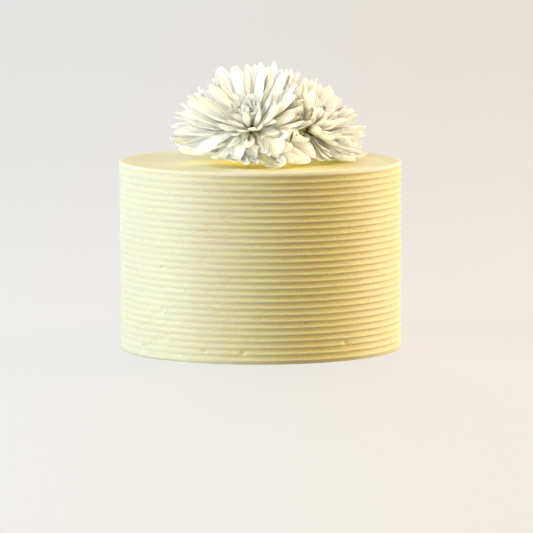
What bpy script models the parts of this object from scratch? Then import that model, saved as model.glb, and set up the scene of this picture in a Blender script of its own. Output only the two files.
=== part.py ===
"""Buttercream cake with combed sides, topped with three white chrysanthemum blooms.

Metres, +Z up. The origin is the centre of the cake's flat base, and -Y is the front.
"""

import math
import random

import bmesh
import bpy
from mathutils import Matrix, Vector
from mathutils.bvhtree import BVHTree

# The cake: a six inch round with buttercream combed round its side
CAKE_RADIUS = 0.0800
CAKE_HEIGHT = 0.1070
RIDGE_COUNT = 28
RIDGE_PITCH = 0.00368
RIDGE_DEPTH = 0.0011
FIRST_RIDGE = 0.0022
RIM_ROUND = 0.0013
LIP_HEIGHT = 0.0005
LIP_WIDTH = 0.0090
FOOT_INSET = 0.0006
WOBBLE = 0.00030
CAKE_SEGMENTS = 36

# The blooms: each has a receptacle, petals in a spiral round it, and a green stem
BLOOMS = {
    "front": {"centre": (-0.0050, -0.0170, 0.1265), "axis": (-0.18, -0.62, 0.77), "reach": 0.0492, "seed": 13,
              "broad": (math.radians(198), math.radians(234))},
    "right": {"centre": (0.0270, 0.0010, 0.1235), "axis": (0.62, -0.26, 0.74), "reach": 0.0420, "seed": 60},
    "back": {"centre": (-0.0160, 0.0210, 0.1240), "axis": (-0.45, 0.50, 0.74), "reach": 0.0420, "seed": 22},
}
PETALS = 120
CORE_RADIUS = 0.0135
CORE_FLATNESS = 0.75
CORE_LIFT = 0.0030
ROOT_RING = 0.0050
TUFT_PETALS = 34
RAY_POLAR = (math.radians(106), math.radians(44))
TUFT_POLAR = (math.radians(35), math.radians(6))
RAY_LENGTH = (1.0, 0.78)
TUFT_LENGTH = (0.52, 0.36)
RAY_WIDTH = (0.0080, 0.0066)
TUFT_WIDTH = (0.0050, 0.0036)
BROAD_WIDENING = 1.45
PETAL_THICKNESS = 0.0007
GOLDEN_ANGLE = math.pi * (3 - math.sqrt(5))
PATH_STEPS = 24

# Where petals are pressed: against the cake's top, which they clear more to the left, and against the next bloom
REST_GAP = 0.00035
CAKE_MARGIN = 0.0060
LEFT_SLOPE = 0.20
LEFT_SLOPE_START = -0.0080
NEIGHBOUR_MARGIN = 0.0090
NEIGHBOUR_OVERRUN = (0.0020, 0.0090)

# The stems
STEM_RADIUS = 0.0014
CALYX_RADIUS = 0.0050
CALYX_HEIGHT = 0.0045
STEM_SIDES = 8

# Faceting of the petals: places along one, and the share of petals that are fused on
PETAL_ROWS = (0.0, 0.34, 0.64, 0.90)
PETAL_STRIDE = 2


def clear_scene():
    for obj in list(bpy.data.objects):
        bpy.data.objects.remove(obj, do_unlink=True)


def material(name, colour, roughness):
    made = bpy.data.materials.new(name)
    made.use_nodes = True
    shader = made.node_tree.nodes["Principled BSDF"]
    shader.inputs["Base Color"].default_value = (*colour, 1.0)
    shader.inputs["Roughness"].default_value = roughness
    shader.inputs["Metallic"].default_value = 0.0
    return made


def object_from(name, points, faces, look=None):
    mesh = bpy.data.meshes.new(name)
    mesh.from_pydata([tuple(p) for p in points], [], faces)
    mesh.update()
    obj = bpy.data.objects.new(name, mesh)
    bpy.context.scene.collection.objects.link(obj)
    if look:
        mesh.materials.append(look)
    return obj


def smoothstep(low, high, value):
    share = min(1.0, max(0.0, (value - low) / (high - low)))
    return share * share * (3 - 2 * share)


# The cake


def side_wobble(angle, height):
    """How far hand scraping leaves the side from a true round."""
    slow = math.sin(2 * angle + 0.7 + 9 * height)
    quick = math.sin(5 * angle + 2.1 - 26 * height)
    return WOBBLE * (0.65 * slow + 0.35 * quick)


def side_profile():
    """(radius, height) up the side, from the foot to the lip: a crest and a valley for each ridge."""
    profile = [(CAKE_RADIUS - RIDGE_DEPTH - FOOT_INSET, 0.0)]
    for ridge in range(RIDGE_COUNT):
        crest = FIRST_RIDGE + ridge * RIDGE_PITCH
        profile.append((CAKE_RADIUS, crest))
        profile.append((CAKE_RADIUS - RIDGE_DEPTH, crest + RIDGE_PITCH / 2))
    for quarter in (0.0, 0.5, 1.0):
        turn = quarter * math.pi / 2
        out = RIM_ROUND * (math.cos(turn) - 1)
        up = RIM_ROUND * (math.sin(turn) - 1)
        profile.append((CAKE_RADIUS + out, CAKE_HEIGHT + up))
    profile.append((CAKE_RADIUS - LIP_WIDTH, CAKE_HEIGHT - LIP_HEIGHT))
    return profile


def build_cake(look):
    profile = side_profile()
    points = [(0.0, 0.0, 0.0)]
    for radius, height in profile:
        for step in range(CAKE_SEGMENTS):
            angle = 2 * math.pi * step / CAKE_SEGMENTS
            at = radius + side_wobble(angle, height)
            points.append((at * math.cos(angle), at * math.sin(angle), height))
    points.append((0.0, 0.0, CAKE_HEIGHT - LIP_HEIGHT))
    faces = []
    for step in range(CAKE_SEGMENTS):
        after = (step + 1) % CAKE_SEGMENTS
        faces.append((0, 1 + after, 1 + step))
        for ring in range(len(profile) - 1):
            low = 1 + ring * CAKE_SEGMENTS
            high = low + CAKE_SEGMENTS
            faces.append((low + step, low + after, high + after, high + step))
        last = 1 + (len(profile) - 1) * CAKE_SEGMENTS
        faces.append((last + step, last + after, len(points) - 1))
    return object_from("cake", points, faces, look)


# The petals


def between(ends, share):
    return ends[0] + (ends[1] - ends[0]) * share


def petal_plan(bloom, number):
    """What one petal of a bloom is like: where it leaves, which way, and its own size and curl."""
    draw = random.Random(1000 * bloom["seed"] + number)
    rays = PETALS - TUFT_PETALS
    if number < rays:
        inward = number / (rays - 1)
        polar_range, length_range, width_range = RAY_POLAR, RAY_LENGTH, RAY_WIDTH
        bend = -0.20 + 0.60 * inward + draw.uniform(-0.30, 0.30)
    else:
        inward = (number - rays) / (TUFT_PETALS - 1)
        polar_range, length_range, width_range = TUFT_POLAR, TUFT_LENGTH, TUFT_WIDTH
        bend = 0.25 + draw.uniform(-0.35, 0.35)
    cosines = [math.cos(angle) for angle in polar_range]
    azimuth = (number * GOLDEN_ANGLE + draw.uniform(-0.14, 0.14)) % (2 * math.pi)
    width = between(width_range, inward) * draw.uniform(0.62, 1.12)
    low, high = bloom.get("broad", (0.0, 0.0))
    if low < azimuth < high and number < rays / 2:
        width *= BROAD_WIDENING
    return {
        "polar": math.acos(between(cosines, inward**0.92)) + draw.uniform(-0.11, 0.11),
        "azimuth": azimuth,
        "length": bloom["reach"] * between(length_range, inward**1.3) * draw.uniform(0.85, 1.07),
        "width": width,
        "bend": bend,
        "sway": draw.uniform(-0.30, 0.30),
        "twist": draw.uniform(-0.35, 0.35),
        "roll": draw.uniform(-0.55, 0.55),
        "cup": draw.uniform(0.60, 1.15),
        "overrun": draw.uniform(*NEIGHBOUR_OVERRUN),
        "taper": draw.uniform(0.54, 0.80),
    }


def frame_of(axis):
    """Two directions across an axis, as (across, up)."""
    axis = Vector(axis).normalized()
    across = axis.cross(Vector((0, 0, 1))).normalized()
    return across, across.cross(axis)


def presses(bloom):
    """The planes that hold a bloom's petals back: (point, way in, margin, whether petals may overrun it)."""
    top = Vector((0, 0, CAKE_HEIGHT - LIP_HEIGHT + REST_GAP))
    found = [(top, Vector((0, 0, 1)), CAKE_MARGIN, False)]
    slope = Vector((LEFT_SLOPE, 0, 1)).normalized()
    found.append((top + Vector((LEFT_SLOPE_START, 0, 0)), slope, CAKE_MARGIN, False))
    here = Vector(bloom["centre"])
    for other in BLOOMS.values():
        if other is bloom:
            continue
        there = Vector(other["centre"])
        found.append(((here + there) / 2, (here - there).normalized(), NEIGHBOUR_MARGIN, True))
    return found


def petal_path(bloom, plan):
    """The petal's midline as (point, along, side, face) at each step, bent off whatever it meets."""
    axis = Vector(bloom["axis"]).normalized()
    across, up = frame_of(axis)
    round_way = across * math.cos(plan["azimuth"]) + up * math.sin(plan["azimuth"])
    along = axis * math.cos(plan["polar"]) + round_way * math.sin(plan["polar"])
    side = along.cross(axis).normalized()
    point = Vector(bloom["centre"]) + along * ROOT_RING
    side = Matrix.Rotation(plan["twist"], 3, along) @ side
    pace = (plan["length"] - ROOT_RING) / PATH_STEPS
    path = []
    for step in range(PATH_STEPS + 1):
        face = side.cross(along).normalized()
        path.append((point.copy(), along.copy(), side.copy(), face))
        curl = plan["bend"] / PATH_STEPS * (0.4 + 1.2 * step / PATH_STEPS)
        along = (along + face * curl + side * plan["sway"] / PATH_STEPS).normalized()
        for place, way_in, margin, soft in presses(bloom):
            spare = (point - place).dot(way_in) + (plan["overrun"] if soft else 0.0)
            sinking = along.dot(way_in)
            if spare < margin and sinking < 0:
                push = 1 - max(0.0, spare) / margin
                along = (along - way_in * sinking * push).normalized()
        side = Matrix.Rotation(plan["roll"] / PATH_STEPS, 3, along) @ side
        side = (side - along * side.dot(along)).normalized()
        point = point + along * pace
    return path


def half_width(plan, place):
    """Narrow claw, broad blade, and a tip that is rounder where the taper starts late."""
    swell = 0.34 + 0.66 * smoothstep(0.0, 0.70, place)
    start = plan["taper"]
    tip = math.sqrt(max(0.0, 1 - max(0.0, (place - start) / (1 - start)) ** 2))
    return plan["width"] / 2 * swell * tip


def cup_angle(plan, place):
    """Half the arc of the petal's section: a gutter at the claw, a shallow spoon at the tip."""
    return plan["cup"] * (1.25 - 0.65 * smoothstep(0.1, 0.8, place))


def coarse_section(plan, path, place):
    """Left edge, middle of the upper face, right edge, middle of the lower face."""
    point, along, side, face = path[round(place * PATH_STEPS)]
    reach = half_width(plan, place)
    arc = cup_angle(plan, place)
    radius = reach / arc
    wide = side * radius * math.sin(arc)
    raised = face * radius * (1 - math.cos(arc))
    section = [point - wide + raised, point.copy(), point + wide + raised, point - face * PETAL_THICKNESS]
    return lifted(section)


def lifted(section):
    """The section raised, whole, to clear the cake's top."""
    floor = CAKE_HEIGHT - LIP_HEIGHT + REST_GAP
    short = floor - min(p.z for p in section)
    if short > 0:
        section = [p + Vector((0, 0, short)) for p in section]
    return section


def petal_solid(bloom, plan):
    """Points and triangles of one petal, with its upper and lower face split alike."""
    path = petal_path(bloom, plan)
    points = []
    for place in PETAL_ROWS:
        points.extend(coarse_section(plan, path, place))
    tip = path[PATH_STEPS][0] - path[PATH_STEPS][3] * PETAL_THICKNESS / 2
    points.append(lifted([tip])[0])
    faces = [(0, 2, 1), (0, 3, 2)]
    last = (len(PETAL_ROWS) - 1) * 4
    for start in range(0, last, 4):
        for corner in range(4):
            after = (corner + 1) % 4
            near, nearer = start + corner, start + after
            far, further = near + 4, nearer + 4
            if corner < 2:
                faces += [(near, nearer, further), (near, further, far)]
            else:
                faces += [(near, nearer, far), (nearer, further, far)]
    for corner in range(4):
        faces.append((last + corner, last + (corner + 1) % 4, len(points) - 1))
    return points, faces


def tree_of(points, faces):
    return BVHTree.FromPolygons([tuple(p) for p in points], faces, all_triangles=False)


def crosses(points, faces, trees):
    own = tree_of(points, faces)
    return any(own.overlap(tree) for tree in trees)


# The receptacles and stems


def core_mesh(bloom):
    """The flattened ball that a bloom's petals grow from."""
    axis = Vector(bloom["axis"]).normalized()
    turn = Vector((0, 0, 1)).rotation_difference(axis).to_matrix().to_4x4()
    squash = Matrix.Diagonal((1, 1, CORE_FLATNESS, 1))
    middle = Vector(bloom["centre"]) + axis * CORE_LIFT
    ball = bmesh.new()
    bmesh.ops.create_icosphere(ball, subdivisions=2, radius=CORE_RADIUS)
    ball.transform(Matrix.Translation(middle) @ turn @ squash)
    points = [v.co.copy() for v in ball.verts]
    faces = [tuple(v.index for v in f.verts) for f in ball.faces]
    ball.free()
    return points, faces


def stem_mesh(bloom):
    """A green cup under the receptacle that narrows to a stem, cut where it meets the cake's top."""
    axis = Vector(bloom["axis"]).normalized()
    across, up = frame_of(axis)
    start = Vector(bloom["centre"]) - axis * (CORE_RADIUS * CORE_FLATNESS - CORE_LIFT + REST_GAP)
    floor = CAKE_HEIGHT - LIP_HEIGHT + REST_GAP
    run = (start.z - floor) / axis.z
    rings = [
        (0.0, CALYX_RADIUS * 0.80),
        (CALYX_HEIGHT * 0.35, CALYX_RADIUS),
        (CALYX_HEIGHT, CALYX_RADIUS * 0.62),
        (CALYX_HEIGHT * 1.5, STEM_RADIUS * 1.15),
        (run, STEM_RADIUS),
    ]
    points = []
    for down, radius in rings:
        for side in range(STEM_SIDES):
            angle = 2 * math.pi * side / STEM_SIDES
            spoke = across * math.cos(angle) + up * math.sin(angle)
            point = start - axis * down + spoke * radius
            if down == run:
                point -= axis * ((point.z - floor) / axis.z)
            points.append(point)
    faces = [tuple(range(STEM_SIDES - 1, -1, -1)), tuple(range(len(points) - STEM_SIDES, len(points)))]
    for ring in range(len(rings) - 1):
        low = ring * STEM_SIDES
        for side in range(STEM_SIDES):
            after = (side + 1) % STEM_SIDES
            faces.append((low + side, low + after, low + STEM_SIDES + after, low + STEM_SIDES + side))
    return points, faces


def fused(name, core, petals, look):
    """One closed solid from a core and the petals that stand in it."""
    obj = object_from(name, *core, look)
    pieces = bpy.data.collections.new(name + "_petals")
    bpy.context.scene.collection.children.link(pieces)
    for number, (points, faces) in enumerate(petals):
        piece = object_from(f"{name}_petal_{number}", points, faces)
        bpy.context.scene.collection.objects.unlink(piece)
        pieces.objects.link(piece)
    joint = obj.modifiers.new("fuse", "BOOLEAN")
    joint.operation = "UNION"
    joint.operand_type = "COLLECTION"
    joint.collection = pieces
    joint.solver = "MANIFOLD"
    bpy.context.view_layer.update()
    whole = obj.evaluated_get(bpy.context.evaluated_depsgraph_get())
    mesh = bpy.data.meshes.new_from_object(whole)
    obj.modifiers.clear()
    obj.data = mesh
    for piece in list(pieces.objects):
        bpy.data.objects.remove(piece, do_unlink=True)
    bpy.data.collections.remove(pieces)
    keep_outer_shell(mesh)
    return obj


def keep_outer_shell(mesh):
    """Drops loose scraps and fills sealed hollows: only the largest closed shell stays."""
    work = bmesh.new()
    work.from_mesh(mesh)
    bmesh.ops.triangulate(work, faces=work.faces[:])
    work.faces.ensure_lookup_table()
    seen = set()
    shells = []
    for first in work.faces:
        if first in seen:
            continue
        shell, front = [], [first]
        seen.add(first)
        while front:
            face = front.pop()
            shell.append(face)
            for edge in face.edges:
                for near in edge.link_faces:
                    if near not in seen:
                        seen.add(near)
                        front.append(near)
        shells.append(shell)
    shells.sort(key=len)
    spare = [face for shell in shells[:-1] for face in shell]
    bmesh.ops.delete(work, geom=spare, context="FACES")
    work.to_mesh(mesh)
    work.free()


def build_flowers(petal_look, stem_look):
    """Cores and stems come first, so that every petal keeps clear of those of the other blooms."""
    cores = {name: core_mesh(bloom) for name, bloom in BLOOMS.items()}
    stems = {name: stem_mesh(bloom) for name, bloom in BLOOMS.items()}
    for name, (points, faces) in stems.items():
        object_from("stem_" + name, points, faces, stem_look)
    stem_trees = [tree_of(*stem) for stem in stems.values()]
    petals = {name: [] for name in BLOOMS}
    trees = {name: [tree_of(*cores[name])] for name in BLOOMS}
    for number in range(0, PETALS, PETAL_STRIDE):
        for name, bloom in BLOOMS.items():
            others = [tree for other in BLOOMS if other != name for tree in trees[other]]
            plan = petal_plan(bloom, number)
            for share in (1.0, 0.85, 0.70, 0.55):
                solid = petal_solid(bloom, dict(plan, length=plan["length"] * share))
                if not crosses(*solid, others + stem_trees):
                    petals[name].append(solid)
                    trees[name].append(tree_of(*solid))
                    break
    for name in BLOOMS:
        fused("bloom_" + name, cores[name], petals[name], petal_look)


def main():
    clear_scene()
    buttercream = material("buttercream", (0.86, 0.79, 0.48), 0.55)
    petal_white = material("petal_white", (0.93, 0.93, 0.88), 0.60)
    stem_green = material("stem_green", (0.16, 0.24, 0.06), 0.60)
    build_cake(buttercream)
    build_flowers(petal_white, stem_green)


main()
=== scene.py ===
"""Looks for the buttercream cake: combed yellow buttercream and white chrysanthemum blooms."""

import math
import random

import bmesh
import bpy
import numpy as np
from mathutils import Matrix, Vector, noise
from mathutils.bvhtree import BVHTree


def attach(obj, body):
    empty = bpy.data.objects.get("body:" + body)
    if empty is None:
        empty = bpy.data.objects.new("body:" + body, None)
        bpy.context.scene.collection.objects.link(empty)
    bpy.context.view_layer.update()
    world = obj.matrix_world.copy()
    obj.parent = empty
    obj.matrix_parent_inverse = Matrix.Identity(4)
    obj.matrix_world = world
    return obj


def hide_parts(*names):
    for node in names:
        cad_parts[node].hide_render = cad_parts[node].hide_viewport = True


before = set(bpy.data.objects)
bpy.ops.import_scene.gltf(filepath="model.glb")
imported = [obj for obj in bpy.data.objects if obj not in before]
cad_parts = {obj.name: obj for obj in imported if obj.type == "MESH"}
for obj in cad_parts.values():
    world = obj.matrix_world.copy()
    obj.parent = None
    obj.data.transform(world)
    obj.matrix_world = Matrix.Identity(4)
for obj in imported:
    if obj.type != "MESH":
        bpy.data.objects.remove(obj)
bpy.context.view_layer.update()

FULL_TURN = 2 * math.pi

# The cake, as in the solids
CAKE_RADIUS = 0.0800
CAKE_HEIGHT = 0.1070
RIDGE_COUNT = 28
RIDGE_PITCH = 0.00368
RIDGE_DEPTH = 0.0011
FIRST_RIDGE = 0.0022
RIM_ROUND = 0.0013
LIP_HEIGHT = 0.0005
LIP_WIDTH = 0.0090
WOBBLE = 0.00030

# The cake's finer side: columns round it, and rows across each ridge as shares of the pitch
CAKE_COLUMNS = 432
RIDGE_PLACES = (-0.40, -0.24, -0.14, -0.05, 0.05, 0.15, 0.28)
LOWEST_ROW = 0.0002
LEVEL_FOOT = 0.001
FOOT_TUCK = 0.0009
SIDE_INSET = 0.00004
# The crests' tone of painted light, between the rim's painted highlight at 0 and the valleys' painted shade
# at 1
CREST_PAINTED_TONE = 0.35

# How deep the comb bit, in ridge depths: at the left, what the front adds, and what the right takes off
LEFT_BITE = 0.30
FRONT_GAIN = 0.74
RIGHT_LOSS = 0.32

# Where a crest ends and a valley begins, as shares of the pitch, at the left and elsewhere
CREST_END = (0.20, 0.04)
VALLEY_START = (0.50, 0.32)

# The side's unevenness, and the waves of each kind round the cake and up it
DEPTH_UNEVENNESS = 0.20
DEPTH_WAVES = (2.2, 60)
CREST_RIPPLE = 0.00017
RIPPLE_WAVES = (38, 7.3)
RIDGE_DRIFT = 0.00016
DRIFT_WAVES = (5, 3.1)

# The recess under the rim: shares of the way up from the last ridge, and depths
RECESS_DEPTH = 0.0010
RECESS = ((0.35, 0.0010), (0.72, 0.0009), (1.0, 0.0001))

# Small tears that the comb left along the crests: how many a ridge, half lengths in radians, and depths
NICK_SEED = 404
NICKS_ON_A_RIDGE = (12, 22)
NICK_HALF_LENGTH = (0.008, 0.018)
NICK_DEPTH = (0.00010, 0.00060)
NICK_SHARPNESS = 2.2
NICK_SAG = 0.00010

# Small holes: (pixels right of the cake's middle, height, half size)
PITS = (
    (-17.4, 0.0062, 0.0016),
    (-55.4, 0.0070, 0.0013),
    (-114.4, 0.0062, 0.0013),
    (84.6, 0.0098, 0.0018),
    (-96.0, 0.0520, 0.0014),
    (44.0, 0.0230, 0.0012),
)
PIT_DEPTH = 0.0016
PIT_SHARPNESS = 2.0
PIT_FLATNESS = 1.4

# The cake's rim and top
RIM_DROP = 0.0022
RIM_SHARES = (0.25, 0.5, 0.75, 1.0)
RIM_SOFTNESS = 0.00035
RIM_WAVES = (6, 4.0)
RIM_SAG = 0.7
# The tone of the rim's painted highlight at the left, where it fades towards the crests' tone
RIM_PAINTED_TONE_LEFT = 0.30
TOP_CLEARANCE = 0.0005
TOP_RINGS = 20
TOP_CROWDING = 1.5
# Painted shade on the top's left, as a tone
TOP_PAINTED_SHADE_LEFT = 0.16
HOLLOW_DEPTH = 0.0007
HOLLOW_EDGES = (0.001, 0.018, 0.024, 0.042)
SWIRL_HEIGHT = 0.00012
SWIRL_PITCHES = (95, 160)
STROKE_HEIGHT = 0.00022
STROKE_WAVES = (1.2, 55, 210)
# Painted shade on the top under the blooms: its middle, and the distances over which it fades out
PAINTED_SHADE_MIDDLE = (0.015, -0.020)
PAINTED_SHADE_REACH = (0.026, 0.048)

# The blooms, as in the solids
BLOOMS = {
    "front": {
        "centre": (-0.0050, -0.0170, 0.1265),
        "axis": (-0.18, -0.62, 0.77),
        "reach": 0.0492,
        "seed": 13,
        "broad": (math.radians(198), math.radians(234)),
    },
    "right": {
        "centre": (0.0270, 0.0010, 0.1235),
        "axis": (0.62, -0.26, 0.74),
        "reach": 0.0420,
        "seed": 60,
    },
    "back": {
        "centre": (-0.0160, 0.0210, 0.1240),
        "axis": (-0.45, 0.50, 0.74),
        "reach": 0.0420,
        "seed": 22,
    },
}
PETALS = 120
CORE_RADIUS = 0.0135
CORE_FLATNESS = 0.75
CORE_LIFT = 0.0030
ROOT_RING = 0.0050
TUFT_PETALS = 34
RAY_POLAR = (math.radians(106), math.radians(44))
TUFT_POLAR = (math.radians(35), math.radians(6))
RAY_LENGTH = (1.0, 0.78)
TUFT_LENGTH = (0.52, 0.36)
RAY_WIDTH = (0.0080, 0.0066)
TUFT_WIDTH = (0.0050, 0.0036)
RAY_BEND = (-0.20, 0.40)
RAY_BEND_SPREAD = 0.30
TUFT_BEND = 0.25
TUFT_BEND_SPREAD = 0.35
AZIMUTH_SPREAD = 0.14
POLAR_SPREAD = 0.11
WIDTH_SHARES = (0.62, 1.12)
LENGTH_SHARES = (0.85, 1.07)
SWAY = 0.30
TWIST = 0.35
ROLL = 0.55
CUP = (0.60, 1.15)
TAPER = (0.54, 0.80)
CURL_SHARES = (0.4, 1.6)
CUP_SHARES = (1.25, 0.60)
CLAW_SHARE = 0.34
CLAW_END = 0.70
BROAD_WIDENING = 1.45
PETAL_THICKNESS = 0.0007
GOLDEN_ANGLE = math.pi * (3 - math.sqrt(5))
PATH_STEPS = 24
REST_GAP = 0.00035
FLOWER_FLOOR = CAKE_HEIGHT - LIP_HEIGHT + REST_GAP
CAKE_MARGIN = 0.0060
LEFT_SLOPE = 0.20
LEFT_SLOPE_START = -0.0080
NEIGHBOUR_MARGIN = 0.0090
NEIGHBOUR_OVERRUN = (0.0020, 0.0090)
STEM_RADIUS = 0.0014
CALYX_RADIUS = 0.0050
CALYX_HEIGHT = 0.0045
STEM_SIDES = 8
PETAL_ROWS = (0.0, 0.34, 0.64, 0.90)

# The petals that the solids leave out: those between theirs, and narrower ones that fill the bloom
ODD_SHARE = 0.93
FILLER_SEED = 500
FILLER_LENGTH = 0.90
FILLER_WIDTH = 0.72
FILLER_LOOSENESS = 1.7
SHORTENINGS = (1.0, 0.85, 0.70, 0.55)

# The front bloom's large outer petals, which hang over the cake's front or reach to the left: (azimuth,
# polar angle, length, width, bend), and the petal whose other values they take
SHOWY_PETALS = (
    (302, 60, 0.0470, 0.0115, -0.95),
    (286, 62, 0.0420, 0.0100, -1.10),
    (270, 54, 0.0370, 0.0120, -1.35),
    (252, 60, 0.0340, 0.0090, -1.10),
    (226, 62, 0.0390, 0.0165, -0.80),
    (186, 66, 0.0370, 0.0095, 0.35),
    (170, 58, 0.0380, 0.0090, 0.35),
)
SHOWY_FORM = {"sway": 0.1, "twist": 0.0, "roll": 0.15, "cup": 0.62, "taper": 0.62}
SHOWY_MODEL = 8
SHOWY_CLAW = 1.5
FIRST_FILLER = PETALS
FIRST_SHOWY = 2 * PETALS

# A finer petal: places along it, columns across its upper face, and what varies from one to the next
FINE_ROWS = (0.0, 0.10, 0.20, 0.30, 0.40, 0.50, 0.60, 0.69, 0.77, 0.84, 0.90, 0.945, 0.975, 0.993, 1.0)
FINE_COLUMNS = 9
FINE_RING = 2 * FINE_COLUMNS - 2
RIB_DEPTH = (0.00018, 0.00034)
RIB_SPREAD = 1.35
EDGE_WAVE = (0.0, 0.00045)
EDGE_WAVES = (1.0, 2.2)
TIP_CURL = (-0.3, 1.0)
TIP_CURL_HEIGHT = 0.0016
TIP_START = 0.72
TIP_LEAN = (-0.25, 0.25)
TIP_LEAN_REACH = 0.35
TIP_THINNING = 0.45
LAST_WIDTH_PLACE = 0.9995
LEAST_WIDTH = 0.03
FINE_CORE_RADIUS = 0.0080
FINE_CORE_FLATNESS = 0.72
FINE_CORE_PIMPLES = 0.05

# Green bracts and a thin dark stem that show between the petals: the two ends in the photograph's
# pixels, the width, and the place on the petals' colour ramp, where 0 is dark green
GREEN_BITS = (
    ((243.6, 113.4), (246.0, 117.6), 0.0034, 0.006),
    ((243.6, 140.2), (249.2, 138.8), 0.0018, 0.003),
    ((248.6, 141.4), (249.2, 135.2), 0.0014, 0.0),
    ((255.2, 139.6), (256.2, 135.8), 0.0015, 0.002),
    ((295.8, 135.4), (302.2, 134.0), 0.0020, 0.002),
    ((300.5, 134.0), (305.4, 137.4), 0.0014, 0.0),
    ((300.0, 135.2), (301.4, 130.0), 0.0013, 0.0),
    ((293.4, 130.4), (289.5, 143.4), 0.0012, 0.0),
)
GREEN_BIT_RINGS = 9
GREEN_BIT_SIDES = 8
GREEN_BIT_DEPTH = 0.0030
GREEN_BIT_RISE = 0.25
GREEN_BIT_END = 0.2
GREEN_BIT_BLUNTNESS = 0.6

# The finer stems
FINE_STEM_SIDES = 32
FINE_STEM_LEVELS = 26
BRACTS = 5
BRACT_TURNS = 900
BRACT_DEPTH = 0.10
STEM_RIBS = 6
STEM_RIB_DEPTH = 0.06
STEM_INSET = 0.05

# The camera, which looks at the cake from the front and a little down, and the frame's pixels
IMAGE_PIXELS = 533
METRES_PER_PIXEL = 0.0005707
AIM = Vector((0.0035, 0.0, 0.0460))
CAMERA_PLACE = Vector((0.0035, -2.8, 0.3626))
SENSOR_WIDTH = 36.0

# The studio round the cake, as the light that comes from each side
SURROUNDINGS = (
    ((0, 1, 0), (1.04, 0.99, 0.80)),
    ((-1, 0, 0), (0.00, 0.03, 0.22)),
    ((1, 0, 0), (0.34, 0.18, 0.00)),
    ((0, -1, 0), (0.27, 0.23, 0.15)),
    ((0, 0, -1), (0.00, 0.01, 0.14)),
)

# Soft square lamps: how far off, how wide, and what they aim at where nothing else is said
LAMP_DISTANCE = 1.6
LAMP_SIZE = 0.9
LAMP_AIM = (0, 0, 0.08)

# Warm light gathers between the petals and the cake's top: where, and how far above the top
AMBER_PLACE = (0.005, -0.024, CAKE_HEIGHT)
PALE_PLACE = (-0.028, -0.010, CAKE_HEIGHT)
GLOW_HEIGHT = 0.010

# The plain ground, which glows evenly bright, with painted light in its tint: a cool white at the left and
# a warm one at the right, the colours of the cool and warm lamps at each side
FLOOR_HALF_SIZE = 12.0
FLOOR_COOL = (0.925, 0.935, 0.945)
FLOOR_WARM = (0.955, 0.910, 0.833)
FLOOR_COOL_X = -0.16
FLOOR_WARM_X = 0.20
FLOOR_GLOW = 0.72


def new_object(name, points, faces, smooth=True):
    mesh = bpy.data.meshes.new(name)
    mesh.from_pydata([tuple(p) for p in points], [], faces)
    mesh.update()
    if smooth:
        mesh.polygons.foreach_set("use_smooth", [True] * len(mesh.polygons))
    obj = bpy.data.objects.new(name, mesh)
    bpy.context.scene.collection.objects.link(obj)
    return obj


def ring_faces(rings, sides, first=0):
    """Four-sided faces between rings of points that lie one above another, each closed on itself."""
    faces = []
    for ring in range(rings - 1):
        low = first + ring * sides
        for side in range(sides):
            after = (side + 1) % sides
            faces.append((low + side, low + after, low + sides + after, low + sides + side))
    return faces


def end_faces(rings, sides, first=0):
    """One face over each end of such a stack of rings."""
    last = first + (rings - 1) * sides
    return [tuple(range(first + sides - 1, first - 1, -1)), tuple(range(last, last + sides))]


def smoothstep(low, high, value):
    share = min(1.0, max(0.0, (value - low) / (high - low)))
    return share * share * (3 - 2 * share)


def between(ends, share):
    return ends[0] + (ends[1] - ends[0]) * share


# Camera


def add_camera():
    data = bpy.data.cameras.new("camera")
    camera = bpy.data.objects.new("camera", data)
    bpy.context.scene.collection.objects.link(camera)
    camera.location = CAMERA_PLACE
    way = AIM - CAMERA_PLACE
    camera.rotation_euler = way.to_track_quat("-Z", "Y").to_euler()
    data.sensor_width = SENSOR_WIDTH
    data.lens = SENSOR_WIDTH * way.length / METRES_PER_PIXEL / IMAGE_PIXELS
    data.clip_end = 100.0
    bpy.context.scene.camera = camera


def sight_axes():
    """The camera's forward, right and up ways."""
    forward = (AIM - CAMERA_PLACE).normalized()
    right = forward.cross(Vector((0, 0, 1))).normalized()
    return forward, right, right.cross(forward)


# Light


def area_light(
    name, azimuth, elevation, power, colour, distance=LAMP_DISTANCE, size=LAMP_SIZE, target=LAMP_AIM
):
    """A soft square light. Azimuth 0 is in front of the cake and 90 is to its right."""
    data = bpy.data.lights.new(name, "AREA")
    data.shape = "SQUARE"
    data.size = size
    data.energy = power
    data.color = colour
    lamp = bpy.data.objects.new(name, data)
    bpy.context.scene.collection.objects.link(lamp)
    turn = math.radians(azimuth)
    rise = math.radians(elevation)
    flat = math.cos(rise) * distance
    away = Vector((flat * math.sin(turn), -flat * math.cos(turn), math.sin(rise) * distance))
    lamp.location = Vector(target) + away
    lamp.rotation_euler = (Vector(target) - lamp.location).to_track_quat("-Z", "Y").to_euler()
    return lamp


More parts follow.
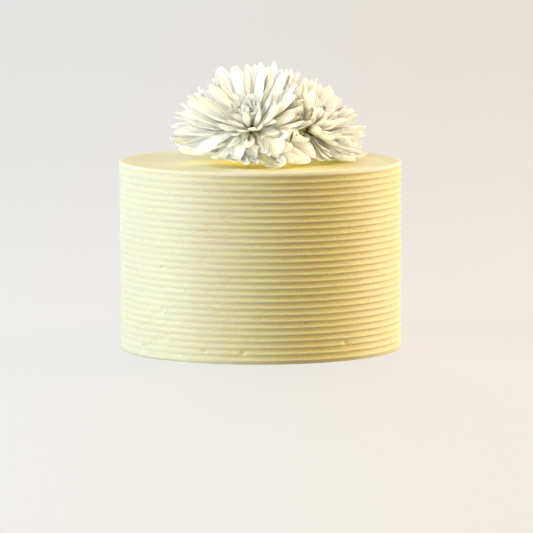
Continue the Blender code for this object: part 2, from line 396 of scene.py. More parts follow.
def add_lamps():
    area_light("left_key", -72, 9, 26.5, (0.75, 0.84, 1.0))
    area_light("low_bounce", -15, -35, 0.05, (0.80, 1.0, 0.95), distance=0.20, size=0.20, target=(0, 0, 0))
    area_light("right_warm", 104, 9, 24, (1.0, 0.87, 0.78), size=0.8)
    area_light("front_high", -8, 45, 5.6, (1.0, 0.89, 0.52))
    area_light("right_high", 50, 50, 4.4, (1.0, 0.80, 0.40))
    area_light("left_high", -60, 50, 4.0, (0.50, 0.85, 1.0))
    area_light("back_top", 175, 62, 3.2, (1.0, 0.68, 0.15))
    area_light("flower_fill", -5, 6, 15.0, (0.98, 0.94, 0.72), size=0.6)
    area_light("flower_top", -10, 72, 5.0, (1.0, 0.94, 0.84))
    area_light("flower_bounce", -5, -30, 12.0, (1.0, 0.94, 0.05))
    amber = area_light("under_petals", 0, 90, 0.0112, (1.0, 0.68, 0.02), GLOW_HEIGHT, 0.050, AMBER_PLACE)
    pale = area_light("beside_petals", 0, 90, 0.0036, (1.0, 0.86, 0.32), GLOW_HEIGHT, 0.036, PALE_PLACE)
    for lamp in (amber, pale):
        lamp.visible_camera = False
        lamp.visible_glossy = False


def add_studio():
    """A world that is lit from each side by a colour of its own."""
    world = bpy.data.worlds.new("studio")
    bpy.context.scene.world = world
    world.use_nodes = True
    tree = world.node_tree
    way = tree.nodes.new("ShaderNodeTexCoord").outputs["Generated"]
    total = None
    for axis, colour in SURROUNDINGS:
        facing = tree.nodes.new("ShaderNodeVectorMath")
        facing.operation = "DOT_PRODUCT"
        facing.inputs[1].default_value = axis
        tree.links.new(way, facing.inputs[0])
        share = tree.nodes.new("ShaderNodeMath")
        share.operation = "MAXIMUM"
        share.inputs[1].default_value = 0.0
        tree.links.new(facing.outputs["Value"], share.inputs[0])
        side = tree.nodes.new("ShaderNodeVectorMath")
        side.operation = "SCALE"
        side.inputs[0].default_value = colour
        tree.links.new(share.outputs[0], side.inputs["Scale"])
        if total is None:
            total = side.outputs["Vector"]
        else:
            both = tree.nodes.new("ShaderNodeVectorMath")
            both.operation = "ADD"
            tree.links.new(total, both.inputs[0])
            tree.links.new(side.outputs["Vector"], both.inputs[1])
            total = both.outputs["Vector"]
    tree.links.new(total, tree.nodes["Background"].inputs["Color"])


def shine_only_on(lamp_name, objects, shaded_by=()):
    linking = bpy.data.objects[lamp_name].light_linking
    lit = bpy.data.collections.new(lamp_name + "_lit")
    for obj in objects:
        lit.objects.link(obj)
    linking.receiver_collection = lit
    if shaded_by:
        shades = bpy.data.collections.new(lamp_name + "_shades")
        for obj in shaded_by:
            shades.objects.link(obj)
        linking.blocker_collection = shades


def floor_look():
    look = bpy.data.materials.new("floor")
    look.use_nodes = True
    tree = look.node_tree
    shader = tree.nodes["Principled BSDF"]
    shader.inputs["Base Color"].default_value = (0.12, 0.12, 0.12, 1.0)
    shader.inputs["Roughness"].default_value = 0.8
    parts = tree.nodes.new("ShaderNodeSeparateXYZ")
    tree.links.new(tree.nodes.new("ShaderNodeTexCoord").outputs["Object"], parts.inputs["Vector"])
    across = tree.nodes.new("ShaderNodeMapRange")
    across.inputs["From Min"].default_value = FLOOR_COOL_X
    across.inputs["From Max"].default_value = FLOOR_WARM_X
    tree.links.new(parts.outputs["X"], across.inputs["Value"])
    tint = tree.nodes.new("ShaderNodeValToRGB")
    tint.color_ramp.elements[0].color = (*FLOOR_COOL, 1.0)
    tint.color_ramp.elements[1].color = (*FLOOR_WARM, 1.0)
    tree.links.new(across.outputs["Result"], tint.inputs["Fac"])
    # The glow's cool-to-warm tint is painted light, the colour of the lamps at each side
    tree.links.new(tint.outputs["Color"], shader.inputs["Emission Color"])
    shader.inputs["Emission Strength"].default_value = FLOOR_GLOW
    return look


def add_floor():
    """The ground shows to the camera alone, so that it neither lights nor shades the cake."""
    size = FLOOR_HALF_SIZE
    points = [(-size, -size, 0), (size, -size, 0), (size, size, 0), (-size, size, 0)]
    floor = new_object("floor", points, [(0, 1, 2, 3)], smooth=False)
    floor.data.materials.append(floor_look())
    floor.visible_diffuse = False
    floor.visible_glossy = False
    floor.visible_transmission = False
    floor.visible_shadow = False


# Materials


class Look:
    """A procedural material and short ways to add nodes to it."""

    def __init__(self, name):
        self.material = bpy.data.materials.new(name)
        self.material.use_nodes = True
        self.tree = self.material.node_tree
        self.shader = self.tree.nodes["Principled BSDF"]

    def node(self, kind, **values):
        made = self.tree.nodes.new(kind)
        for name, value in values.items():
            setattr(made, name, value)
        return made

    def link(self, source, target):
        self.tree.links.new(source, target)

    def place(self):
        return self.node("ShaderNodeTexCoord").outputs["Object"]

    def noise(self, vector, scale, detail=3.0):
        made = self.node("ShaderNodeTexNoise")
        made.inputs["Scale"].default_value = scale
        made.inputs["Detail"].default_value = detail
        self.link(vector, made.inputs["Vector"])
        return made.outputs["Fac"]

    def ramp(self, value, stops):
        made = self.node("ShaderNodeValToRGB")
        ramp = made.color_ramp
        while len(ramp.elements) < len(stops):
            ramp.elements.new(0.5)
        for element, (place, colour) in zip(ramp.elements, stops):
            element.position = place
            element.color = (*colour, 1.0)
        self.link(value, made.inputs["Fac"])
        return made.outputs["Color"]

    def times(self, first, second):
        made = self.node("ShaderNodeMix", data_type="RGBA", blend_type="MULTIPLY")
        made.inputs[0].default_value = 1.0
        self.link(first, made.inputs[6])
        self.link(second, made.inputs[7])
        return made.outputs[2]

    def bump(self, height, strength, distance, below=None):
        made = self.node("ShaderNodeBump")
        made.inputs["Strength"].default_value = strength
        made.inputs["Distance"].default_value = distance
        self.link(height, made.inputs["Height"])
        if below:
            self.link(below, made.inputs["Normal"])
        return made.outputs["Normal"]

    def glow_within(self, weight, radius, scale):
        self.shader.inputs["Subsurface Weight"].default_value = weight
        self.shader.inputs["Subsurface Radius"].default_value = radius
        self.shader.inputs["Subsurface Scale"].default_value = scale


def buttercream_look():
    """Yellow buttercream with smears, grain and pinholes. Its colour carries painted light: painted shade,
    deeper and yellower, in the valleys, the recess under the rim, the pits, under the blooms and on the
    top's left, and a painted highlight, whiter, on the rim.
    """
    look = Look("buttercream")
    place = look.place()
    cloud = look.noise(place, scale=26.0)
    base = look.ramp(cloud, [(0.30, (0.8652, 0.8047, 0.5888)), (0.70, (0.8910, 0.8381, 0.6464))])
    painted_light_tone = look.node("ShaderNodeAttribute", attribute_name="painted_light_tone").outputs["Fac"]
    # The ramp's stops: a painted highlight at 0, whiter and bluer, for the rim; the crests' tone at 0.35;
    # painted shade at 1, deeper and yellower, for the valleys, the recess, the pits and the top under the
    # blooms
    stops = [
        (0.0, (1.03, 1.05, 1.09)),
        (0.35, (0.975, 0.965, 0.80)),
        (1.0, (0.95, 0.92, 0.56)),
    ]
    look.link(look.times(base, look.ramp(painted_light_tone, stops)), look.shader.inputs["Base Color"])
    smear = look.noise(place, scale=330.0)
    smeared = look.bump(smear, strength=0.25, distance=0.0004)
    grain = look.noise(place, scale=1500.0, detail=2.0)
    grained = look.bump(grain, strength=0.12, distance=0.00012, below=smeared)
    bubbles = look.noise(place, scale=560.0, detail=0.0)
    holes = look.ramp(bubbles, [(0.69, (1.0, 1.0, 1.0)), (0.76, (0.0, 0.0, 0.0))])
    holed = look.bump(holes, strength=0.55, distance=0.0005, below=grained)
    look.link(holed, look.shader.inputs["Normal"])
    rough = look.node("ShaderNodeMapRange")
    rough.inputs["To Min"].default_value = 0.42
    rough.inputs["To Max"].default_value = 0.60
    look.link(smear, rough.inputs["Value"])
    look.link(rough.outputs["Result"], look.shader.inputs["Roughness"])
    look.shader.inputs["Specular IOR Level"].default_value = 0.35
    look.glow_within(weight=0.7, radius=(1.0, 0.62, 0.22), scale=0.0022)
    return look.material


def petal_look():
    """White petals with fine veins, yellow-green at the claw, and dark green at the very start."""
    look = Look("petal_white")
    uv = look.node("ShaderNodeUVMap", uv_map="petal")
    parts = look.node("ShaderNodeSeparateXYZ")
    look.link(uv.outputs["UV"], parts.inputs["Vector"])
    stops = [
        (0.0, (0.11, 0.11, 0.015)),
        (0.02, (0.79, 0.83, 0.42)),
        (0.16, (0.93, 0.94, 0.76)),
        (0.42, (0.975, 0.975, 0.900)),
        (1.0, (0.990, 0.985, 0.960)),
    ]
    claw = look.ramp(parts.outputs["Y"], stops)
    cloud = look.noise(look.place(), scale=190.0, detail=2.0)
    tint = look.ramp(cloud, [(0.3, (0.985, 0.985, 0.965)), (0.7, (1.0, 1.0, 1.0))])
    look.link(look.times(claw, tint), look.shader.inputs["Base Color"])
    vein = look.node("ShaderNodeTexWave", wave_type="BANDS", bands_direction="X", wave_profile="SIN")
    vein.inputs["Scale"].default_value = 3.2
    vein.inputs["Distortion"].default_value = 0.6
    vein.inputs["Detail"].default_value = 1.0
    look.link(uv.outputs["UV"], vein.inputs["Vector"])
    veined = look.bump(vein.outputs["Fac"], strength=0.45, distance=0.00030)
    look.link(veined, look.shader.inputs["Normal"])
    look.shader.inputs["Roughness"].default_value = 0.55
    look.shader.inputs["Specular IOR Level"].default_value = 0.3
    look.glow_within(weight=1.0, radius=(1.0, 0.95, 0.80), scale=0.0018)
    return look.material


def green_look():
    look = Look("stem_green")
    cloud = look.noise(look.place(), scale=420.0)
    base = look.ramp(cloud, [(0.25, (0.09, 0.15, 0.03)), (0.75, (0.24, 0.32, 0.09))])
    look.link(base, look.shader.inputs["Base Color"])
    look.link(look.bump(cloud, strength=0.4, distance=0.0003), look.shader.inputs["Normal"])
    look.shader.inputs["Roughness"].default_value = 0.55
    look.glow_within(weight=0.2, radius=(0.6, 1.0, 0.3), scale=0.001)
    return look.material


# The cake. Each spot is a place on its surface and a tone of painted light: 0 is the painted highlight of
# the palest buttercream, 1 the painted shade of the deepest


def around(angle, radius, height):
    return Vector((math.cos(angle) * radius, math.sin(angle) * radius, height))


def waver(angle, waves, place):
    """Noise from -1 to 1 that meets itself again after a full turn."""
    return noise.noise(around(angle, waves[0], place * waves[1]))


def angle_gap(first, second):
    return abs((first - second + math.pi) % FULL_TURN - math.pi)


def side_wobble(angle, height):
    slow = math.sin(2 * angle + 0.7 + 9 * height)
    quick = math.sin(5 * angle + 2.1 - 26 * height)
    return WOBBLE * (0.65 * slow + 0.35 * quick)


def ridge_strength(angle):
    """The comb bit deepest at the front right. At the left it left flat bands with thin grooves."""
    across = math.cos(angle)
    gain = FRONT_GAIN * smoothstep(-0.70, 0.55, across)
    return LEFT_BITE + gain - RIGHT_LOSS * smoothstep(0.50, 1.0, across)


def ridge_relief(place, angle):
    """0 on a crest and 1 in the valley between two ridges, which is narrower at the left."""
    opened = smoothstep(-0.7, 0.3, math.cos(angle))
    return smoothstep(between(CREST_END, opened), between(VALLEY_START, opened), abs(place))


def leftness(angle):
    """1 on the left side of the cake, and 0 at the front, the right and the back."""
    return smoothstep(-0.15, -0.50, math.cos(angle))


def crest_nicks():
    """The small tears of each ridge: (angle, half length, depth)."""
    draw = random.Random(NICK_SEED)
    nicks = {}
    for ridge in range(RIDGE_COUNT):
        nicks[ridge] = []
        for _ in range(draw.randint(*NICKS_ON_A_RIDGE)):
            angle = draw.uniform(0, FULL_TURN)
            nicks[ridge].append((angle, draw.uniform(*NICK_HALF_LENGTH), draw.uniform(*NICK_DEPTH)))
    return nicks


def side_angle(pixel):
    """The angle round the cake of a spot that the camera sees at this many pixels right of its middle."""
    return math.asin(pixel * METRES_PER_PIXEL / CAKE_RADIUS) - math.pi / 2


def side_rows():
    """The side's rows from the foot up: (height, inset, ridge, place across the ridge)."""
    rows = [(0.0, FOOT_TUCK, None, None)]
    for ridge in range(RIDGE_COUNT):
        for place in RIDGE_PLACES:
            height = FIRST_RIDGE + (ridge + place) * RIDGE_PITCH
            if height > LOWEST_ROW:
                rows.append((height, 0.0, ridge, place))
    last = rows[-1][0]
    neck = CAKE_HEIGHT - RIM_DROP
    for share, inset in RECESS:
        rows.append((last + (neck - last) * share, inset, None, None))
    return rows


def side_spot(angle, row, nicks):
    height, inset, ridge, place = row
    strength = ridge_strength(angle)
    radius = CAKE_RADIUS - SIDE_INSET + side_wobble(angle, height) - inset * strength
    relief = inset / RECESS_DEPTH
    lift = 0.0
    if ridge is not None:
        relief = ridge_relief(place, angle)
        uneven = 1 + DEPTH_UNEVENNESS * waver(angle, DEPTH_WAVES, height)
        radius -= RIDGE_DEPTH * strength * uneven * relief
        radius += CREST_RIPPLE * waver(angle, RIPPLE_WAVES, ridge) * (1 - relief)
        lift = RIDGE_DRIFT * waver(angle, DRIFT_WAVES, ridge)
        for at, half, depth in nicks[ridge]:
            gap = angle_gap(angle, at)
            if gap < half * 2:
                bite = math.exp(-((gap / half) ** 2) * NICK_SHARPNESS)
                radius -= depth * bite * (1 - relief)
                lift -= NICK_SAG * bite
        for pixel, level, half in PITS:
            gap = angle_gap(angle, side_angle(pixel)) * CAKE_RADIUS
            away = math.hypot(gap, (height - level) * PIT_FLATNESS)
            if away < half * 2:
                pit = math.exp(-((away / half) ** 2) * PIT_SHARPNESS)
                radius -= PIT_DEPTH * pit
                relief = min(1.0, relief + pit)
        if height <= LEVEL_FOOT:
            lift = 0.0
    level = min(max(height + lift, 0.0), CAKE_HEIGHT - TOP_CLEARANCE)
    # The tone is painted shade: deeper and yellower in the valleys, in the recess under the rim and in the
    # pits, and more where the comb bit deeper
    return around(angle, radius, level), CREST_PAINTED_TONE + (1 - CREST_PAINTED_TONE) * relief * strength


def rim_spot(angle, share):
    turn = math.pi / 2 * share
    soft = RIM_SOFTNESS * waver(angle, RIM_WAVES, 1) * math.sin(turn)
    radius = CAKE_RADIUS + side_wobble(angle, CAKE_HEIGHT) + RIM_ROUND * (math.cos(turn) - 1) + soft
    level = CAKE_HEIGHT + RIM_DROP * (math.sin(turn) - 1) - max(0.0, soft) * RIM_SAG
    # The rim's tone is a painted highlight, whiter and bluer, faded at the left
    return around(angle, radius, level), RIM_PAINTED_TONE_LEFT * leftness(angle)


def top_spot(angle, share):
    """A spot on the smooth top, inside the rim. The share is 0 at the rim and 1 at the middle."""
    start = CAKE_RADIUS - RIM_ROUND
    flat = start * (1 - share)
    inward = start - flat
    outer_low, outer_high, inner_low, inner_high = HOLLOW_EDGES
    hollow = smoothstep(outer_low, outer_high, inward) * (1 - smoothstep(inner_low, inner_high, inward))
    broad, fine = SWIRL_PITCHES
    swirl = (math.sin(angle + flat * broad) + math.sin(angle * 2 - flat * fine + 1.3)) / 2
    turned, drawn, crossed = STROKE_WAVES
    stroke = noise.noise(Vector((angle * turned + flat * drawn, flat * crossed, 2.0)))
    fade = smoothstep(0.0, 0.3, share) * min(1.0, flat / 0.02)
    level = CAKE_HEIGHT - LIP_HEIGHT * smoothstep(0, LIP_WIDTH - RIM_ROUND, inward)
    level -= HOLLOW_DEPTH * hollow * leftness(angle)
    level += (SWIRL_HEIGHT * (swirl - 1) + STROKE_HEIGHT * stroke) * fade
    spot = around(angle, flat, level)
    # The tone is painted shade: full under the blooms, fading out round them, and a little on the top's
    # left
    away = math.hypot(spot.x - PAINTED_SHADE_MIDDLE[0], spot.y - PAINTED_SHADE_MIDDLE[1])
    return spot, max(1 - smoothstep(*PAINTED_SHADE_REACH, away), TOP_PAINTED_SHADE_LEFT * leftness(angle))


def build_cake():
    angles = [FULL_TURN * column / CAKE_COLUMNS for column in range(CAKE_COLUMNS)]
    top_shares = [(ring / (TOP_RINGS + 1)) ** TOP_CROWDING for ring in range(1, TOP_RINGS + 1)]
    nicks = crest_nicks()
    rings = [[side_spot(angle, row, nicks) for angle in angles] for row in side_rows()]
    rings += [[rim_spot(angle, share) for angle in angles] for share in RIM_SHARES]
    rings += [[top_spot(angle, share) for angle in angles] for share in top_shares]
    spots = [spot for ring in rings for spot in ring]
    # The top's middle, under the blooms, takes full painted shade
    spots.append((Vector((0.0, 0.0, CAKE_HEIGHT - LIP_HEIGHT)), 1.0))

    faces = ring_faces(len(rings), CAKE_COLUMNS)
    last = (len(rings) - 1) * CAKE_COLUMNS
    for column in range(CAKE_COLUMNS):
        faces.append((last + column, last + (column + 1) % CAKE_COLUMNS, len(spots) - 1))
    faces.append(end_faces(len(rings), CAKE_COLUMNS)[0])
    cake = new_object("combed_cake", [point for point, _ in spots], faces)
    # The tones of painted light: painted shade in the valleys, the recess, the pits and under the blooms,
    # and a painted highlight on the rim
    painted_light_tones = cake.data.attributes.new("painted_light_tone", "FLOAT", "POINT")
    painted_light_tones.data.foreach_set("value", [tone for _, tone in spots])
    cake.data.materials.append(buttercream_look())
    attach(cake, "root")
    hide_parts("cake")
    return cake


# The petals' layout, as in the solids


def petal_plan(bloom, number):
    draw = random.Random(1000 * bloom["seed"] + number)
    rays = PETALS - TUFT_PETALS
    if number < rays:
        inward = number / (rays - 1)
        polar_range, length_range, width_range = RAY_POLAR, RAY_LENGTH, RAY_WIDTH
        bend = between(RAY_BEND, inward) + draw.uniform(-RAY_BEND_SPREAD, RAY_BEND_SPREAD)
    else:
        inward = (number - rays) / (TUFT_PETALS - 1)
        polar_range, length_range, width_range = TUFT_POLAR, TUFT_LENGTH, TUFT_WIDTH
        bend = TUFT_BEND + draw.uniform(-TUFT_BEND_SPREAD, TUFT_BEND_SPREAD)
    cosines = [math.cos(angle) for angle in polar_range]
    azimuth = (number * GOLDEN_ANGLE + draw.uniform(-AZIMUTH_SPREAD, AZIMUTH_SPREAD)) % FULL_TURN
    width = between(width_range, inward) * draw.uniform(*WIDTH_SHARES)
    low, high = bloom.get("broad", (0.0, 0.0))
    if low < azimuth < high and number < rays / 2:
        width *= BROAD_WIDENING
    return {
        "polar": math.acos(between(cosines, inward**0.92)) + draw.uniform(-POLAR_SPREAD, POLAR_SPREAD),
        "azimuth": azimuth,
        "length": bloom["reach"] * between(length_range, inward**1.3) * draw.uniform(*LENGTH_SHARES),
        "width": width,
        "bend": bend,
        "sway": draw.uniform(-SWAY, SWAY),
        "twist": draw.uniform(-TWIST, TWIST),
        "roll": draw.uniform(-ROLL, ROLL),
        "cup": draw.uniform(*CUP),
        "overrun": draw.uniform(*NEIGHBOUR_OVERRUN),
        "taper": draw.uniform(*TAPER),
    }


def frame_of(axis):
    axis = Vector(axis).normalized()
    across = axis.cross(Vector((0, 0, 1))).normalized()
    return across, across.cross(axis)


def presses(bloom):
    """The planes that hold a bloom's petals off the cake and off the other blooms."""
    top = Vector((0, 0, FLOWER_FLOOR))
    found = [(top, Vector((0, 0, 1)), CAKE_MARGIN, False)]
    slope = Vector((LEFT_SLOPE, 0, 1)).normalized()
    found.append((top + Vector((LEFT_SLOPE_START, 0, 0)), slope, CAKE_MARGIN, False))
    here = Vector(bloom["centre"])
    for other in BLOOMS.values():
        if other is bloom or other["centre"] == bloom["centre"]:
            continue
        there = Vector(other["centre"])
        found.append(((here + there) / 2, (here - there).normalized(), NEIGHBOUR_MARGIN, True))
    return found


def petal_path(bloom, plan):
    """A petal's midline, as its frames: (point, along, side, face)."""
    axis = Vector(bloom["axis"]).normalized()
    across, up = frame_of(axis)
    round_way = across * math.cos(plan["azimuth"]) + up * math.sin(plan["azimuth"])
    along = axis * math.cos(plan["polar"]) + round_way * math.sin(plan["polar"])
    side = along.cross(axis).normalized()
    point = Vector(bloom["centre"]) + along * ROOT_RING
    side = Matrix.Rotation(plan["twist"], 3, along) @ side
    pace = (plan["length"] - ROOT_RING) / PATH_STEPS
    path = []
    for step in range(PATH_STEPS + 1):
        face = side.cross(along).normalized()
        path.append((point.copy(), along.copy(), side.copy(), face))
        curl = plan["bend"] / PATH_STEPS * between(CURL_SHARES, step / PATH_STEPS)
        along = (along + face * curl + side * plan["sway"] / PATH_STEPS).normalized()
        for place, way_in, margin, soft in presses(bloom):
            spare = (point - place).dot(way_in) + (plan["overrun"] if soft else 0.0)
            sinking = along.dot(way_in)
            if spare < margin and sinking < 0:
                push = 1 - max(0.0, spare) / margin
                along = (along - way_in * sinking * push).normalized()
        side = Matrix.Rotation(plan["roll"] / PATH_STEPS, 3, along) @ side
        side = (side - along * side.dot(along)).normalized()
        point = point + along * pace
    return path


def half_width(plan, place):
    swell = between((CLAW_SHARE, 1.0), smoothstep(0.0, CLAW_END, place))
    start = plan["taper"]
    tip = math.sqrt(max(0.0, 1 - max(0.0, (place - start) / (1 - start)) ** 2))
    return plan["width"] / 2 * swell * tip


def cup_angle(plan, place):
    return plan["cup"] * between(CUP_SHARES, smoothstep(0.1, 0.8, place))


def lifted(points, floor):
    """The points moved up together where the lowest would sink under a level."""
    short = max(0.0, floor - min(p.z for p in points))
    return [p + Vector((0, 0, short)) for p in points]


def coarse_petal(bloom, plan):
    path = petal_path(bloom, plan)
    points = []
    for place in PETAL_ROWS:
        point, along, side, face = path[round(place * PATH_STEPS)]
        arc = cup_angle(plan, place)
        radius = half_width(plan, place) / arc
        wide = side * radius * math.sin(arc)
        raised = face * radius * (1 - math.cos(arc))
        upper = [point - wide + raised, point, point + wide + raised]
        points.extend(lifted(upper + [point - face * PETAL_THICKNESS], FLOWER_FLOOR))
    tip = path[PATH_STEPS][0] - path[PATH_STEPS][3] * PETAL_THICKNESS / 2
    tip.z = max(tip.z, FLOWER_FLOOR)
    points.append(tip)
    faces = [(0, 2, 1), (0, 3, 2)] + ring_faces(len(PETAL_ROWS), 4)
    last = (len(PETAL_ROWS) - 1) * 4
    for corner in range(4):
        faces.append((last + corner, last + (corner + 1) % 4, len(points) - 1))
    return points, faces


def tree_of(points, faces):
    return BVHTree.FromPolygons([tuple(p) for p in points], faces)


def any_plan(bloom, number):
    """Even petals are those of the solid. The rest fill the bloom, and stay a little inside them."""
    if number < FIRST_FILLER:
        plan = petal_plan(bloom, number)
        if number % 2:
            plan["length"] *= ODD_SHARE
        return plan
    if number >= FIRST_SHOWY:
        azimuth, polar, length, width, bend = SHOWY_PETALS[number - FIRST_SHOWY]
        plan = petal_plan(bloom, SHOWY_MODEL)
        plan.update(azimuth=math.radians(azimuth), polar=math.radians(polar))
        plan.update(length=length, width=width, bend=bend, **SHOWY_FORM)
        return plan
    plan = petal_plan(dict(bloom, seed=bloom["seed"] + FILLER_SEED), number - FIRST_FILLER)
    plan["azimuth"] += GOLDEN_ANGLE / 2
    plan["roll"] *= FILLER_LOOSENESS
    plan["sway"] *= FILLER_LOOSENESS
    plan["length"] *= FILLER_LENGTH
    plan["width"] *= FILLER_WIDTH
    return plan


def petal_layout():
    """Each bloom's petals as (number, plan), shortened or left out where they would cross another bloom."""
    found = {name: [] for name in BLOOMS}
    trees = {name: [tree_of(*core_points(bloom))] for name, bloom in BLOOMS.items()}
    stem_trees = [tree_of(*stem_points(bloom)) for bloom in BLOOMS.values()]
    order = list(range(0, PETALS, 2)) + list(range(1, PETALS, 2))
    order += range(FIRST_FILLER, FIRST_SHOWY + len(SHOWY_PETALS))
    for number in order:
        for name, bloom in BLOOMS.items():
            if number >= FIRST_SHOWY and name != "front":
                continue
            others = [tree for other in BLOOMS if other != name for tree in trees[other]]
            plan = any_plan(bloom, number)
            for share in SHORTENINGS:
                tried = dict(plan, length=plan["length"] * share)
                own = tree_of(*coarse_petal(bloom, tried))
                if not any(own.overlap(tree) for tree in others + stem_trees):
                    found[name].append((number, tried))
                    trees[name].append(own)
                    break
    return found


# The finer petals


def at_place(path, place):
    """The petal's midline frame at any place along it."""
    spot = place * PATH_STEPS
    low = min(int(spot), PATH_STEPS - 1)
    share = spot - low
    point, along, side, face = [a.lerp(b, share) for a, b in zip(path[low], path[low + 1])]
    return point, along.normalized(), side.normalized(), face.normalized()


def fine_petal(bloom, plan, number):
    """Rings of points round the petal, its claw first. Each is the upper face and then the lower."""
    path = petal_path(bloom, plan)
    draw = random.Random(7000 * bloom["seed"] + number)
    ribs = draw.choice((2, 2, 3))
    rib_depth = draw.uniform(*RIB_DEPTH)
    wave = draw.uniform(*EDGE_WAVE)
    wave_turns = draw.uniform(*EDGE_WAVES)
    wave_start = draw.uniform(0, FULL_TURN)
    tip_curl = draw.uniform(*TIP_CURL)
    lean = draw.uniform(*TIP_LEAN)
    rings = []
    for place in FINE_ROWS:
        point, along, side, face = at_place(path, place)
        reach = max(half_width(plan, min(place, LAST_WIDTH_PLACE)), plan["width"] * LEAST_WIDTH)
        arc = cup_angle(plan, place)
        radius = reach / arc
        hook = max(0.0, place - TIP_START) / (1 - TIP_START)
        point = point + face * tip_curl * TIP_CURL_HEIGHT * hook**2
        upper = []
        lower = []
        for column in range(FINE_COLUMNS):
            across = 2 * column / (FINE_COLUMNS - 1) - 1
            turn = across * arc
            rib = rib_depth * math.cos(math.pi * ribs * across * RIB_SPREAD) * (1 - across * across)
            rib *= smoothstep(0.05, 0.3, place) * (1 - 0.6 * smoothstep(0.85, 1.0, place))
            edge = wave * across * abs(across) * math.sin(wave_start + wave_turns * FULL_TURN * place)
            spot = point + side * radius * math.sin(turn)
            spot = spot + face * (radius * (1 - math.cos(turn)) + rib + edge)
            spot = spot + along * reach * TIP_LEAN_REACH * lean * across * smoothstep(0.8, 1.0, place)
            thick = PETAL_THICKNESS * (1 - across * across) ** 0.5 * (1 - TIP_THINNING * place)
            upper.append(spot)
            if 0 < column < FINE_COLUMNS - 1:
                lower.append(spot - face * thick)
        rings.append(lifted(upper + lower[::-1], FLOWER_FLOOR - REST_GAP / 2))
    return rings


def core_points(bloom):
    middle = Vector(bloom["centre"]) + Vector(bloom["axis"]).normalized() * CORE_LIFT
    return dome(bloom, middle, CORE_RADIUS, CORE_FLATNESS, 2, 0.0)


def fine_core(bloom):
    """The receptacle: a low dome, pimpled with the bases of its unopened florets."""
    middle = Vector(bloom["centre"])
    return dome(bloom, middle, FINE_CORE_RADIUS, FINE_CORE_FLATNESS, 4, FINE_CORE_PIMPLES)


def dome(bloom, middle, radius, flatness, subdivisions, pimples):
    """A ball flattened along the bloom's axis."""
    turn = Vector((0, 0, 1)).rotation_difference(Vector(bloom["axis"]).normalized()).to_matrix().to_4x4()
    ball = bmesh.new()
    bmesh.ops.create_icosphere(ball, subdivisions=subdivisions, radius=1.0)
    for vert in ball.verts:
        vert.co *= radius * (1 + pimples * noise.noise(vert.co * 9.0))
        vert.co.z *= flatness
    ball.transform(Matrix.Translation(middle) @ turn)
    points = [v.co.copy() for v in ball.verts]
    faces = [tuple(v.index for v in f.verts) for f in ball.faces]
    ball.free()
    return points, faces


def bloom_mesh(name, petals):
    """A bloom's points, its faces, and each point's place on its petal, across and along."""
    bloom = BLOOMS[name]
    points = []
    faces = []
    places = []
    across = [column / (FINE_COLUMNS - 1) for column in range(FINE_COLUMNS)]
    across += across[-2:0:-1]
    for number, plan in petals:
        start = len(points)
        claw = SHOWY_CLAW if number >= FIRST_SHOWY else 1.0
        for place, ring in zip(FINE_ROWS, fine_petal(bloom, plan, number)):
            points.extend(ring)
            places.extend((share, place**claw) for share in across)
        faces.extend(ring_faces(len(FINE_ROWS), FINE_RING, start))
        faces.extend(end_faces(len(FINE_ROWS), FINE_RING, start))
    join(points, faces, places, fine_core(bloom), 0.0)
    return points, faces, places


def join(points, faces, places, piece, tone):
    """Adds a piece's points and faces to a bloom's, all at one place on the petals' colour ramp."""
    shift = len(points)
    points.extend(piece[0])
    faces.extend(tuple(index + shift for index in face) for face in piece[1])
    places.extend([(0.5, tone)] * len(piece[0]))


# The green bits between the petals


def seen_spot(pixel, trees):
    """What shows at a pixel of the photograph's frame: how far off it is, the bloom, and the way to it."""
    _, right, up = sight_axes()
    middle = IMAGE_PIXELS / 2
    target = AIM + (right * (pixel[0] - middle) + up * (middle - pixel[1])) * METRES_PER_PIXEL
    way = (target - CAMERA_PLACE).normalized()
    found = []
    for name, tree in trees.items():
        distance = tree.ray_cast(CAMERA_PLACE, way)[3]
        if distance:
            found.append((distance, name))
    distance, name = min(found)
    return distance, name, way


def green_bit(first, second, width):
    """A small spindle that lies on the petals between two places."""
    forward = sight_axes()[0]
    along = second - first
    across = forward.cross(along).normalized()
    middle = (first + second) / 2 - forward * width * GREEN_BIT_RISE
    points = []
    for ring in range(GREEN_BIT_RINGS):
        share = (ring + GREEN_BIT_END) / (GREEN_BIT_RINGS - 1 + 2 * GREEN_BIT_END)
        swell = math.sin(math.pi * share) ** GREEN_BIT_BLUNTNESS
        for side in range(GREEN_BIT_SIDES):
            angle = FULL_TURN * side / GREEN_BIT_SIDES
            spoke = across * math.cos(angle) + forward * math.sin(angle)
            points.append(middle + along * (share - 0.5) + spoke * width / 2 * swell)
    faces = ring_faces(GREEN_BIT_RINGS, GREEN_BIT_SIDES) + end_faces(GREEN_BIT_RINGS, GREEN_BIT_SIDES)
    return points, faces


def add_green_bits(meshes):
    trees = {name: tree_of(points, faces) for name, (points, faces, _) in meshes.items()}
    for one_end, other_end, width, tone in GREEN_BITS:
        distance, name, way = seen_spot(one_end, trees)
        other_distance, _, other_way = seen_spot(other_end, trees)
        other_distance = min(max(other_distance, distance - GREEN_BIT_DEPTH), distance + GREEN_BIT_DEPTH)
        bit = green_bit(CAMERA_PLACE + way * distance, CAMERA_PLACE + other_way * other_distance, width)
        join(*meshes[name], bit, tone)


def build_bloom(name, points, faces, places, material):
    obj = new_object("chrysanthemum_" + name, points, faces)
    layer = obj.data.uv_layers.new(name="petal")
    corners = np.zeros(len(obj.data.loops), dtype=np.int32)
    obj.data.loops.foreach_get("vertex_index", corners)
    layer.data.foreach_set("uv", np.array(places, dtype=np.float32)[corners].ravel())
    obj.data.materials.append(material)
    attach(obj, "root")
    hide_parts("bloom_" + name)
    return obj


# The stems


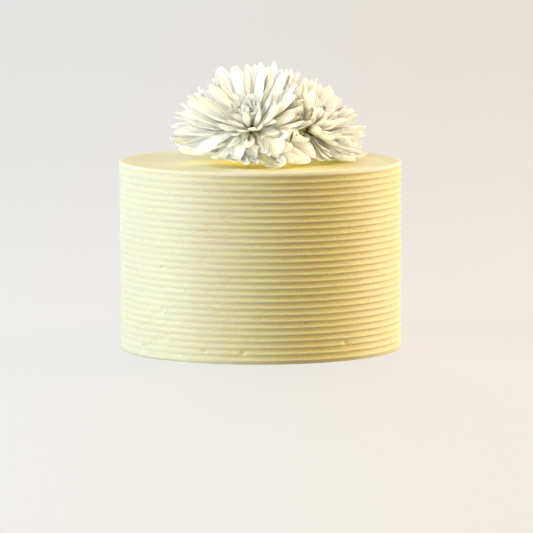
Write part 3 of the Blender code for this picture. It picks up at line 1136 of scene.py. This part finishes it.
def stem_frame(bloom):
    """Where a bloom's stem starts, its axis, its two sideways ways, and its length."""
    axis = Vector(bloom["axis"]).normalized()
    across, up = frame_of(axis)
    start = Vector(bloom["centre"]) - axis * (CORE_RADIUS * CORE_FLATNESS - CORE_LIFT + REST_GAP)
    return start, axis, across, up, (start.z - FLOWER_FLOOR) / axis.z


def stem_points(bloom):
    start, axis, across, up, run = stem_frame(bloom)
    rings = [
        (0.0, CALYX_RADIUS * 0.80),
        (CALYX_HEIGHT * 0.35, CALYX_RADIUS),
        (CALYX_HEIGHT, CALYX_RADIUS * 0.62),
        (CALYX_HEIGHT * 1.5, STEM_RADIUS * 1.15),
        (run, STEM_RADIUS),
    ]
    points = []
    for down, radius in rings:
        for side in range(STEM_SIDES):
            angle = FULL_TURN * side / STEM_SIDES
            spoke = across * math.cos(angle) + up * math.sin(angle)
            point = start - axis * down + spoke * radius
            if down == run:
                point -= axis * ((point.z - FLOWER_FLOOR) / axis.z)
            points.append(point)
    return points, end_faces(len(rings), STEM_SIDES) + ring_faces(len(rings), STEM_SIDES)


def build_stem(name, material):
    """A cup of small overlapping bracts over a ribbed stem, cut level at its foot."""
    start, axis, across, up, run = stem_frame(BLOOMS[name])
    points = []
    for level in range(FINE_STEM_LEVELS):
        down = run * level / (FINE_STEM_LEVELS - 1)
        cup = max(0.0, 1 - (down / (CALYX_HEIGHT * 1.5)) ** 1.6)
        base = STEM_RADIUS + (CALYX_RADIUS - STEM_RADIUS) * cup**0.8
        if level == 0:
            base *= 0.86
        for side in range(FINE_STEM_SIDES):
            angle = FULL_TURN * side / FINE_STEM_SIDES
            bract = abs(math.sin(angle * BRACTS + down * BRACT_TURNS)) * BRACT_DEPTH * cup
            rib = STEM_RIB_DEPTH * math.cos(angle * STEM_RIBS) * (1 - cup)
            spoke = across * math.cos(angle) + up * math.sin(angle)
            point = start - axis * down + spoke * base * (1 + bract + rib - STEM_INSET)
            if level == FINE_STEM_LEVELS - 1:
                point -= axis * ((point.z - FLOWER_FLOOR) / axis.z)
            point.z = max(point.z, FLOWER_FLOOR)
            points.append(point)
    faces = end_faces(FINE_STEM_LEVELS, FINE_STEM_SIDES) + ring_faces(FINE_STEM_LEVELS, FINE_STEM_SIDES)
    obj = new_object("calyx_" + name, points, faces)
    obj.data.materials.append(material)
    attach(obj, "root")
    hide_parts("stem_" + name)


def main():
    add_camera()
    add_lamps()
    add_studio()
    add_floor()
    cake = build_cake()
    petal_material = petal_look()
    green = green_look()
    meshes = {name: bloom_mesh(name, petals) for name, petals in petal_layout().items()}
    add_green_bits(meshes)
    blooms = []
    for name, mesh in meshes.items():
        blooms.append(build_bloom(name, *mesh, petal_material))
        build_stem(name, green)
    shine_only_on("flower_fill", blooms)
    shine_only_on("flower_top", blooms)
    shine_only_on("flower_bounce", blooms, shaded_by=blooms)
    for lamp_name in ("under_petals", "beside_petals", "low_bounce"):
        shine_only_on(lamp_name, [cake])
    bpy.context.scene.view_settings.view_transform = "Standard"


main()
